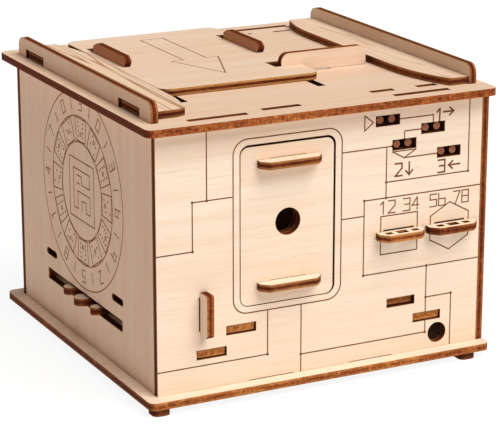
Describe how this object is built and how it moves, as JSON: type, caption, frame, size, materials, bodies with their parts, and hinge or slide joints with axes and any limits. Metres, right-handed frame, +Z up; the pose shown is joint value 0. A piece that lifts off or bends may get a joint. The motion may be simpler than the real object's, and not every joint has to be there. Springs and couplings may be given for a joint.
{
  "type": "puzzle box",
  "caption": "Laser-cut plywood puzzle box with a drawer behind its front door, code sliders, a finger dial, a key tab and a sliding arrow plate on the lid.",
  "frame": {"origin": "centre of the square base plate, on the plane the four feet stand on", "axes": "+Z up, -Y out of the front wall with the door, -X out of the left side wall with the engraved dial"},
  "size_m": [0.1508, 0.151, 0.12],
  "materials": {
    "panel_plywood": "bare birch plywood face with thin laser-engraved lines and scorched edges",
    "grip_plywood": "bare plywood, mostly scorched laser-cut edge",
    "inner_plywood": "bare plywood",
    "peg_wood": "bare birch dowel"
  },
  "bodies": {
    "box": {"feet": "grip_plywood", "base_plate": "panel_plywood", "front_wall": "panel_plywood", "rear_wall": "panel_plywood", "left_wall": "panel_plywood", "right_wall": "panel_plywood", "top_plate": "panel_plywood", "left_rail": "panel_plywood", "right_rail": "panel_plywood", "left_wing": "panel_plywood", "right_wing": "panel_plywood", "lower_deck": "inner_plywood", "upper_deck": "inner_plywood", "deck_spacers": "inner_plywood", "dial_pin": "inner_plywood", "door_frame": "inner_plywood", "housing_left_side": "inner_plywood", "housing_right_side": "inner_plywood", "housing_floor": "inner_plywood", "housing_roof": "inner_plywood", "drawer_stop": "inner_plywood", "key_guides": "inner_plywood", "slider_shelf": "inner_plywood", "slider_cover": "inner_plywood", "slider_guides": "inner_plywood", "code_board": "inner_plywood", "code_pegs": "peg_wood"},
    "drawer": {"front_door": "panel_plywood", "door_backing": "inner_plywood", "upper_door_handle": "grip_plywood", "lower_door_handle": "grip_plywood", "drawer_left_side": "inner_plywood", "drawer_right_side": "inner_plywood", "drawer_floor": "inner_plywood", "drawer_back": "inner_plywood"},
    "arrow_slider": {"arrow_plate": "panel_plywood", "left_runner": "grip_plywood", "right_runner": "grip_plywood", "slider_yoke": "inner_plywood"},
    "latch": {"latch_bar": "panel_plywood", "latch_keeper": "inner_plywood"},
    "dial": {"dial_disc": "grip_plywood"},
    "key": {"key_tab": "grip_plywood"},
    "code_slide_left": {"code_slider_1": "grip_plywood"},
    "code_slide_right": {"code_slider_2": "grip_plywood"}
  },
  "joints": [
    {"name": "drawer_slide", "type": "slide", "parent": "box", "child": "drawer", "axis": [0, -1, 0], "range_m": [0, 0.07]},
    {"name": "arrow_plate_slide", "type": "slide", "parent": "box", "child": "arrow_slider", "axis": [0, -1, 0], "range_m": [0, 0.006]},
    {"name": "latch_slide", "type": "slide", "parent": "box", "child": "latch", "axis": [-1, 0, 0], "range_m": [0, 0.0025]},
    {"name": "dial_turn", "type": "hinge", "parent": "box", "child": "dial", "pos_m": [0, 0, 0.0239], "axis": [0, 0, 1], "range_deg": [-12, 12]},
    {"name": "key_slide", "type": "slide", "parent": "box", "child": "key", "axis": [0, -1, 0], "range_m": [0, 0.012]},
    {"name": "left_code_slide", "type": "slide", "parent": "box", "child": "code_slide_left", "axis": [0, -1, 0], "range_m": [0, 0.012]},
    {"name": "right_code_slide", "type": "slide", "parent": "box", "child": "code_slide_right", "axis": [0, -1, 0], "range_m": [0, 0.012]}
  ]
}
